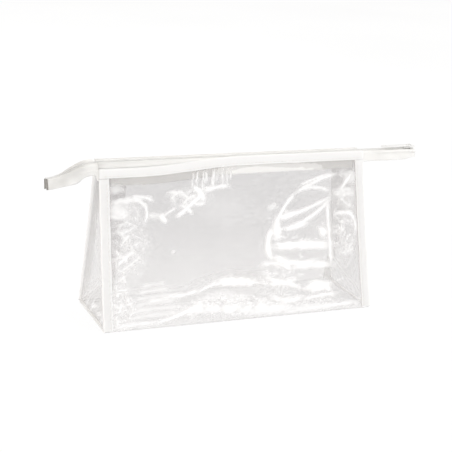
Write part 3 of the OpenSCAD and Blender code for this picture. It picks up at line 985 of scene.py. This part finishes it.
def zip_tape(side):
    """The tape that carries a row of coil, folded down into a flap behind the wall."""
    name = side_name(side) + "_zip_tape"
    long_foot, short_foot = WALL_LEN - FLAP_DEPTH, TOP_TAPE_FOOT + 0.3
    flap_end, step_across, strip_points = FLAP_HALF + 0.5, 1.2, 5
    at = [-TOP_HALF, -flap_end] + spread(-FLAP_HALF, FLAP_HALF, 130) + [flap_end, TOP_HALF]
    grid, threads = [], []
    for u in at:
        foot_w = long_foot if abs(u) <= FLAP_HALF else short_foot
        foot_w += 0.3 * noise.noise(Vector((u / 18, side * 2.0, 8.0)))
        row = []
        for k, p in enumerate(zip_profile(foot_w, side)):
            wave = 0.18 * noise.noise(Vector((u / 15, k / 3, side * 6.0)))
            swing = side * 0.6 * abs(wave) * smooth((k - strip_points) / 4)
            lift = wave * 0.4 if k < strip_points else 0
            row.append(Vector((u, p.y + swing, p.z + lift)))
        grid.append(row)
        threads.append([(u, step_across * k, 0.0) for k in range(len(row))])
    if side == REAR:
        grid, threads = mirrored(grid), mirrored(threads)
    piece = shell(name + "_cloth", grid, TAPE_T, ZIP_TAPE, threads=threads)
    settle_wall(piece, side, "zip_tape", name)
    return piece


def line_length(line):
    return sum((b[0] - a[0]).length for a, b in zip(line, line[1:]))


def helix(line, side, gap):
    """A row of zip coil along a line of (point, up) pairs: one monofilament wound over a flat core."""
    pitch, wire, around, ring = 1.25, 0.2, 10, 5
    across, tall = 0.78, COIL_H / 2 - wire
    aside = Vector((0, -side, 0))
    count = int(line_length(line) / pitch) * around
    points = []
    for k in range(count + 1):
        share = k / count * (len(line) - 1)
        i = min(int(share), len(line) - 2)
        a, up_a = line[i]
        b, up_b = line[i + 1]
        p, up = a.lerp(b, share - i), up_a.lerp(up_b, share - i).normalized()
        ahead = (b - a).normalized()
        turn = 2 * math.pi * k / around + (0 if side == FRONT else math.pi)
        centre = p + aside * (gap + across + wire + across * math.cos(turn))
        centre += up * (COIL_H / 2 + tall * math.sin(turn))
        outward = (aside * math.cos(turn) + up * math.sin(turn)).normalized()
        points += circle(centre, outward, ahead, wire, ring)
    return points, tube_faces(count + 1, ring)


def body_coil(side):
    line = [(Vector((x, 0, COIL_Z)), Vector((0, 0, 1))) for x in spread(-TOP_HALF, TOP_HALF, 20)]
    piece = make_object(side_name(side) + "_coil_row", *helix(line, side, 0.1), NYLON)
    return settle_wall(piece, side, "coil_nylon", side_name(side) + "_coil")


# ---- tabs ----

def tab_profile():
    """A tab's half of the tape in section, as (aside, up) from the middle of the zip."""
    shoulder, foot = TAB_HALF - 0.3, TAB_FOOT - STRIP_Z
    half_gap, bend_r, flare, flap_from = 0.7, 0.9, 0.12, -1.4
    strip = [(out, 0.0) for out in spread(half_gap, shoulder - bend_r, 4)]
    bend = [(shoulder - bend_r + bend_r * math.sin(a), -bend_r + bend_r * math.cos(a))
            for a in (0.5, 1.0, 1.4)]
    flap = [(shoulder + flare * k, mix(flap_from, foot, k / 5)) for k in range(6)]
    return strip + bend + flap


# A tab's tape starts just inside the bag's end, this far before the tab that the CAD shows.
TAB_ROOT = 2.0


def right_line():
    """Middle of the right tab as a list of place, direction along it, up."""
    return [(Vector((x, 0, STRIP_MIDDLE)), Vector((1, 0, 0)), Vector((0, 0, 1)))
            for x in spread(TAB_FROM - TAB_ROOT, TAB_TO, 40)]


LEFT_TAB_LEN, LEFT_DROOP, LEFT_STEPS = 38.0, 26.0, 56
TWIST_FROM, TWIST_TO = -22, 8


def left_line():
    """Middle of the left tab: it leaves level, droops in a long S and turns a little on itself."""
    at = Vector((-TOP_HALF + 0.2, 0, STRIP_MIDDLE))
    line = []
    step = (LEFT_TAB_LEN + TAB_ROOT) / LEFT_STEPS
    for k in range(LEFT_STEPS + 1):
        share = max(0.0, (k * step - TAB_ROOT) / LEFT_TAB_LEN)
        slope = math.radians(LEFT_DROOP) * math.sin(math.pi * share)
        ahead = Vector((-math.cos(slope), 0, -math.sin(slope)))
        twist = math.radians(mix(TWIST_FROM, TWIST_TO, smooth(share * 1.05))) * smooth(k / 3)
        up = Matrix.Rotation(twist, 3, ahead) @ Vector((-math.sin(slope), 0, math.cos(slope)))
        line.append((at.copy(), ahead, up))
        at = at + ahead * step
    return line


def tab_painted_shade(p):
    """Painted shade on a tab: darker toward its end, in its crease and at its open cut end."""
    # Painted shade: the tabs darken toward their ends, the left one more, with some random unevenness.
    toward_end_shade = smooth((abs(p.x) - TOP_HALF) / 14) * (0.75 + noise.noise(p / 9))
    # At the left tab's open cut end the tape is painted near black, as the shade inside it.
    if p.x < 0:
        cut_x, dark, blur = -143.6, 0.9, 0.9
        return max(0.27 * toward_end_shade, dark * smooth((cut_x - p.x) / blur))
    # Painted shadow: a dark line along the right tab's crease, where the strip bends down into its flaps.
    crease_drop, crease_width, flap_y = 2.0, 0.5, 4.6
    crease = math.exp(-((p.z - STRIP_Z + crease_drop) / crease_width) ** 2)
    crease *= smooth((p.x - TAB_FROM - 8) / 12)
    return 0.1 * toward_end_shade + 0.3 * crease * (abs(p.y) > flap_y)


def tab_tape(name, line, side, end):
    """Half of a tab's tape: the left narrows over its outer half, the right gets shallow at its nose."""
    grid, threads = [], []
    profile = tab_profile()
    for (at, ahead, up), share in zip(line, spread(0, 1, len(line) - 1)):
        narrow = mix(1.0, 0.6, smooth(2 * share - 1)) if end == LEFT else 1.0
        shallow = mix(1.0, 0.74, smooth(4 * share - 3)) if end == RIGHT else 1.0
        aside = up.cross(ahead).normalized()
        if aside.y * side > 0:
            aside = -aside
        row = []
        for m, (out, rise) in enumerate(profile):
            wave = 0.15 * noise.noise(Vector((at.x / 9, m / 4, side * 3.0)))
            out = out * narrow + wave * (m > 7)
            row.append(at + aside * out + up * (rise * shallow + wave * 0.5))
        grid.append(row)
        threads.append([(abs(at.x), 1.1 * m, 0.0) for m in range(len(row))])
    if side != end:
        grid, threads = mirrored(grid), mirrored(threads)
    piece = shell(name, grid, TAPE_T, ZIP_TAPE, threads=threads)
    # Each point of the tab gets its painted shade.
    put_values(piece, "painted_shade", [tab_painted_shade(v.co / MM) for v in piece.data.vertices])
    return piece


def tab_coil(name, line):
    """Both rows of coil on a tab, lying on its tape."""
    lift = Vector((0, 0, TAPE_T / 2 + 0.05))
    rows = [helix([(p + lift, up) for p, ahead, up in line], side, 0.35) for side in (FRONT, REAR)]
    return make_object(name + "_tab_coil_rows", *join_meshes(rows), NYLON)


def tabs():
    right, left = right_line(), left_line()
    for side in (FRONT, REAR):
        name = side_name(side) + "_tape"
        piece = tab_tape("right_tab_" + name + "_cloth", right, side, RIGHT)
        settle(piece, "root", "zip_tape", "right_tab_" + name)
        piece = tab_tape("left_tab_" + name + "_cloth", left, side, LEFT)
        settle_left_tab(piece, "zip_tape", "left_tab_" + name)
    coil_ends_before = 3
    settle(tab_coil("right", right[:-coil_ends_before]), "root", "coil_nylon", "right_tab_coil")
    settle_left_tab(tab_coil("left", left), "coil_nylon", "left_tab_coil")


# ---- moulded blocks and the slider ----

def rounded_plate(name, outlines, z_low, z_high, edge):
    """A flat plate with rolled edges from closed outlines in X and Y; later outlines are holes."""
    data = bpy.data.curves.new(name, "CURVE")
    data.dimensions, data.fill_mode = "2D", "BOTH"
    data.extrude = ((z_high - z_low) / 2 - edge) * MM
    data.bevel_depth, data.bevel_resolution = edge * MM, 2
    data.offset = -edge * MM
    for outline in outlines:
        spline = data.splines.new("POLY")
        spline.points.add(len(outline) - 1)
        for point, (x, y) in zip(spline.points, outline):
            point.co = (x * MM, y * MM, 0, 1)
        spline.use_cyclic_u = True
    curve = bpy.data.objects.new(name + "_outline", data)
    bpy.context.scene.collection.objects.link(curve)
    bpy.context.view_layer.update()
    solid = curve.evaluated_get(bpy.context.evaluated_depsgraph_get())
    mesh = bpy.data.meshes.new_from_object(solid)
    bpy.data.objects.remove(curve)
    mesh.transform(Matrix.Translation((0, 0, (z_low + z_high) / 2 * MM)))
    points = [v.co / MM for v in mesh.vertices]
    return points, [tuple(p.vertices) for p in mesh.polygons]


def arc(centre_x, centre_y, radius, start, steps, step=15):
    """Points of an arc, turning left by step degrees from the angle start."""
    angles = [math.radians(start + step * k) for k in range(steps + 1)]
    return [(centre_x + radius * math.cos(a), centre_y + radius * math.sin(a)) for a in angles]


def round_outline(half_x, half_y, radius, centre=(0.0, 0.0), steps=6):
    """A rectangle with round corners."""
    outline = []
    for sx, sy, start in ((1, 1, 0), (-1, 1, 90), (-1, -1, 180), (1, -1, 270)):
        x, y = centre[0] + sx * (half_x - radius), centre[1] + sy * (half_y - radius)
        outline += arc(x, y, radius, start, steps, 90 / steps)
    return outline


def bottom_stop_block():
    """A small moulded block with rolled edges."""
    low, high = box_mm("bottom_stop")
    middle, half = (low + high) / 2, (high - low) / 2
    outline = round_outline(half.x, half.y, min(half.x, half.y) * 0.6, (middle.x, middle.y))
    plate = rounded_plate("stop", [outline], low.z, high.z, half.z * 0.5)
    piece = make_object("bottom_stop_block", *plate, NYLON)
    return settle(piece, "root", "coil_nylon", "bottom_stop")


def top_stop_blocks():
    low, high = box_mm("top_stops")
    half_y, corner, edge = 0.95, 0.5, 0.2
    parts = []
    for side in (FRONT, REAR):
        centre = ((low.x + high.x) / 2, side * (low.y + half_y))
        outline = round_outline((high.x - low.x) / 2, half_y, corner, centre)
        parts.append(rounded_plate("stop", [outline], low.z, high.z, edge))
    piece = make_object("top_stop_blocks", *join_meshes(parts), NYLON)
    return settle(piece, "root", "coil_nylon", "top_stops")


def slider_outline(centre_x, length, width):
    """Plan of a slider plate: a broad round nose to the right, a narrower tail to the left."""
    nose, tail, corner = width / 2, width / 2 - 0.6, 1.2
    tail_x = centre_x - length / 2 + corner
    outline = arc(centre_x + length / 2 - nose, 0.0, nose, -90, 12)
    outline += arc(tail_x, tail - corner, corner, 90, 6)
    return outline + arc(tail_x, corner - tail, corner, 180, 6)


def slider():
    low, high = box_mm("slider_body")
    centre_x, length, width = (low.x + high.x) / 2, high.x - low.x, high.y - low.y
    plate, edge, post_sunk, post_from_nose = 0.7, 0.2, 0.1, 2.6
    outline = slider_outline(centre_x, length, width)
    parts = [rounded_plate("plate", [outline], z, z + plate, edge) for z in (low.z, high.z - plate)]
    post = round_outline(0.8, 0.3, 0.25, (high.x - post_from_nose, 0))
    parts.append(rounded_plate("post", [post], low.z + post_sunk, high.z - post_sunk, 0.1))
    piece = make_object("slider_plates", *join_meshes(parts), ENAMEL)
    settle(piece, "slider", "slider_enamel", "slider_body")
    slider_arch()
    slider_tongue()


def slider_arch():
    """The crown: a low round arch on two legs, with the gap that the pull's pin turns in."""
    low, high = box_mm("slider_crown")
    middle_x, half_x = (low.x + high.x) / 2, (high.x - low.x) / 2
    height, width = high.z - low.z, high.y - low.y
    gap, gap_half, gap_corner, spring = 1.1, half_x - 0.8, 0.3, 0.55
    outline = [(-half_x, 0.0), (-half_x, height * spring)]
    outline += [(-half_x * math.cos(a), height * (spring + (1 - spring) * math.sin(a)))
                for a in [math.pi * k / 10 for k in range(1, 10)]]
    outline += [(half_x, height * spring), (half_x, 0.0), (gap_half, 0.0), (gap_half, gap * 0.8)]
    outline += [(gap_half - gap_corner, gap), (gap_corner - gap_half, gap)]
    outline += [(-gap_half, gap * 0.8), (-gap_half, 0.0)]
    outline.reverse()
    points, faces = rounded_plate("arch", [outline], -width / 2, width / 2, 0.15)
    upright = Matrix.Translation((middle_x, 0, low.z)) @ Matrix.Rotation(math.pi / 2, 4, "X")
    piece = make_object("slider_arch", [upright @ p for p in points], faces, ENAMEL)
    return settle(piece, "slider", "slider_enamel", "slider_crown")


def slider_tongue():
    """The pull: a flat tongue with a hole for a cord near its end, and an eye round the pin."""
    low, high = box_mm("slider_pull")
    pin = Vector(JOINTS["pull_hinge"]["pos_m"]) / MM
    half_w, thick = (high.y - low.y) / 2, high.z - low.z
    neck_x, pin_r, corner, end_r, hole_r, hole_in = pin.x - 3.1, 0.35, 0.3, 1.6, 1.3, 3.4
    outline = [(pin.x + pin_r, corner - half_w), (pin.x + pin_r, half_w - corner)]
    outline += [(pin.x, half_w), (neck_x, half_w)]
    end = round_outline(end_r, half_w, end_r, (low.x + end_r, 0), 6)
    outline += [p for p in end if p[0] <= low.x + end_r][:14]
    outline += [(neck_x, -half_w), (pin.x, -half_w)]
    eye_x = pin.x - 0.45
    eye = round_outline((eye_x - neck_x) / 2, hole_r, 0.4, ((eye_x + neck_x) / 2, 0), 4)
    hole = arc(low.x + hole_in, 0.0, hole_r, 0, 19, 18)
    plate = rounded_plate("tongue", [outline, eye, hole], low.z, high.z, thick * 0.3)
    piece = make_object("slider_tongue", *plate, ENAMEL)
    return settle(piece, "pull", "slider_enamel", "slider_pull")


# ---- sewing ----

def stitch(at, ahead, out):
    """One stitch: a short thread that dips into the cloth at both ends."""
    length, thick, rings, around, rise, sunk = 2.4, 0.2, 6, 6, 0.22, 0.14
    aside = ahead.cross(out).normalized()
    points = []
    for t in spread(0, 1, rings):
        bulge = math.sin(math.pi * t)
        centre = at + ahead * (t - 0.5) * length + out * (rise * bulge ** 0.6 - sunk)
        points += circle(centre, aside, out, thick * (0.45 + 0.55 * bulge ** 0.5), around)
    return points, tube_faces(rings + 1, around)


def sew(name, place, length):
    """A row of stitches; place gives a point and the outward direction at a distance along it."""
    parts = []
    for k in range(1, int(length / STITCH_PITCH)):
        distance = k * STITCH_PITCH
        at, out = place(distance)
        ahead = (place(distance + 0.5)[0] - place(distance - 0.5)[0]).normalized()
        parts.append(stitch(at, ahead, out))
    points, faces = join_meshes(parts)
    piece = make_object(name, points, faces, THREAD)
    put_vectors(piece, "threads", [(p.x + p.z, p.y, 0.0) for p in points])
    return piece


def outward(side):
    return Vector((0, -side * COS, SIN))


def seam_sewing(end, side):
    def place(distance):
        u = end * (wall_half(distance) - SEAM_TAPE_W + SEAM_STITCH_IN)
        return wall(u, distance, SEAM_TAPE_T / 2 - 0.02, side), outward(side)
    piece = sew(side_name(side) + "_" + end_name(end) + "_seam_stitching", place, TOP_TAPE_FOOT - 1)
    return settle(piece, "root", "white_tape")


def top_sewing(side):
    margin = 2

    def place(distance):
        v = TOP_LEAF_LOW + TOP_LEAF * 1.08
        return wall(-TOP_HALF + margin + distance, TOP_TAPE_FOOT + TOP_STITCH_UP, v, side), outward(side)
    piece = sew(side_name(side) + "_top_stitching", place, 2 * TOP_HALF - 2 * margin)
    return settle_wall(piece, side, "white_tape")


# ---- studio ----

def paint_floor():
    g = Graph(bpy.data.materials.new("studio_floor"))
    base = g.ramp(g.noise(3.0, 2.0), [(0.3, (0.14, 0.14, 0.14)), (0.7, (0.16, 0.16, 0.16))])
    matte = g.node("BsdfPrincipled", Base_Color=base, Roughness=0.9, Emission_Strength=0.87,
                   Emission_Color=(1.0, 1.0, 1.0, 1.0), Specular_IOR_Level=0.0)
    return g.finish(matte.outputs[0])


def studio_floor():
    half, z = 4000.0, -0.3
    corners = [Vector((x * half, y * half, z)) for x, y in ((-1, -1), (1, -1), (1, 1), (-1, 1))]
    make_object("studio_floor", corners, [(0, 1, 2, 3)], paint_floor())


def softbox(name, place, aim, size, radiance, tint=(1.0, 1.0, 1.0)):
    data = bpy.data.lights.new(name, "AREA")
    data.shape = "RECTANGLE"
    data.size, data.size_y = size
    data.energy = radiance * math.pi * size[0] * size[1]
    data.color = tint
    lamp = bpy.data.objects.new(name, data)
    bpy.context.scene.collection.objects.link(lamp)
    lamp.location = place
    lamp.rotation_mode = "QUATERNION"
    lamp.rotation_quaternion = (Vector(aim) - Vector(place)).to_track_quat("-Z", "Y")
    lamp.visible_camera = False


def studio_world():
    """White behind the object; in reflections a greyer room that is a little warm toward -X."""
    g = Graph(bpy.data.worlds.new("studio"), "World")
    toward = g.node("SeparateXYZ", Vector=g.node("TexCoord").outputs["Generated"]).outputs
    grey = g.ramp(toward["Z"], [(0.0, (0.62, 0.62, 0.62)), (0.8, (0.82, 0.82, 0.82))])
    across = g.math("MULTIPLY_ADD", toward["X"], 0.5, 0.5)
    warm = g.ramp(across, [(0.0, (0.86, 0.81, 0.76)), (0.75, (1.0, 1.0, 1.0))])
    tinted = g.join("VectorMath", {"operation": "MULTIPLY"}, (0, 1), grey, warm).outputs[0]
    room = g.node("Background", Color=tinted).outputs[0]
    white = g.node("Background", Color=(1.0, 1.0, 1.0, 1.0), Strength=1.05).outputs[0]
    seen = g.node("LightPath").outputs["Is Camera Ray"]
    bpy.context.scene.world = g.finish(g.mix(seen, room, white))


def studio():
    studio_floor()
    studio_world()
    aim = (0.0, 0.0, 0.06)
    softbox("key_light", (0.8, -0.85, 1.05), aim, (0.8, 0.8), 1.7)
    softbox("fill_light", (-0.6, -1.2, 0.25), aim, (0.8, 0.5), 1.2, (1.0, 0.97, 0.94))
    softbox("top_light", (0.35, 0.0, 1.3), aim, (0.9, 0.9), 1.2)
    softbox("side_light", (-1.1, -0.7, 0.5), aim, (0.5, 0.9), 0.5, (1.0, 0.94, 0.88))
    softbox("rear_light", (-0.3, 1.3, 0.9), aim, (1.2, 0.5), 2.2)
    view = bpy.context.scene.view_settings
    view.view_transform, view.look, view.exposure, view.gamma = "Standard", "None", 0.0, 1.0
    bpy.context.scene.cycles.transparent_max_bounces = 32


# ---- the bag ----

def build():
    wall_sheet(FRONT, front_relief())
    wall_sheet(REAR, rear_relief())
    base_sheet()
    for end in (LEFT, RIGHT):
        gusset(end)
        base_binding(end)
        for side in (FRONT, REAR):
            seam_binding(end, side)
            seam_sewing(end, side)
    for side in (FRONT, REAR):
        top_binding(side)
        top_sewing(side)
        zip_tape(side)
        body_coil(side)
    tabs()
    top_stop_blocks()
    bottom_stop_block()
    slider()


build()
studio()
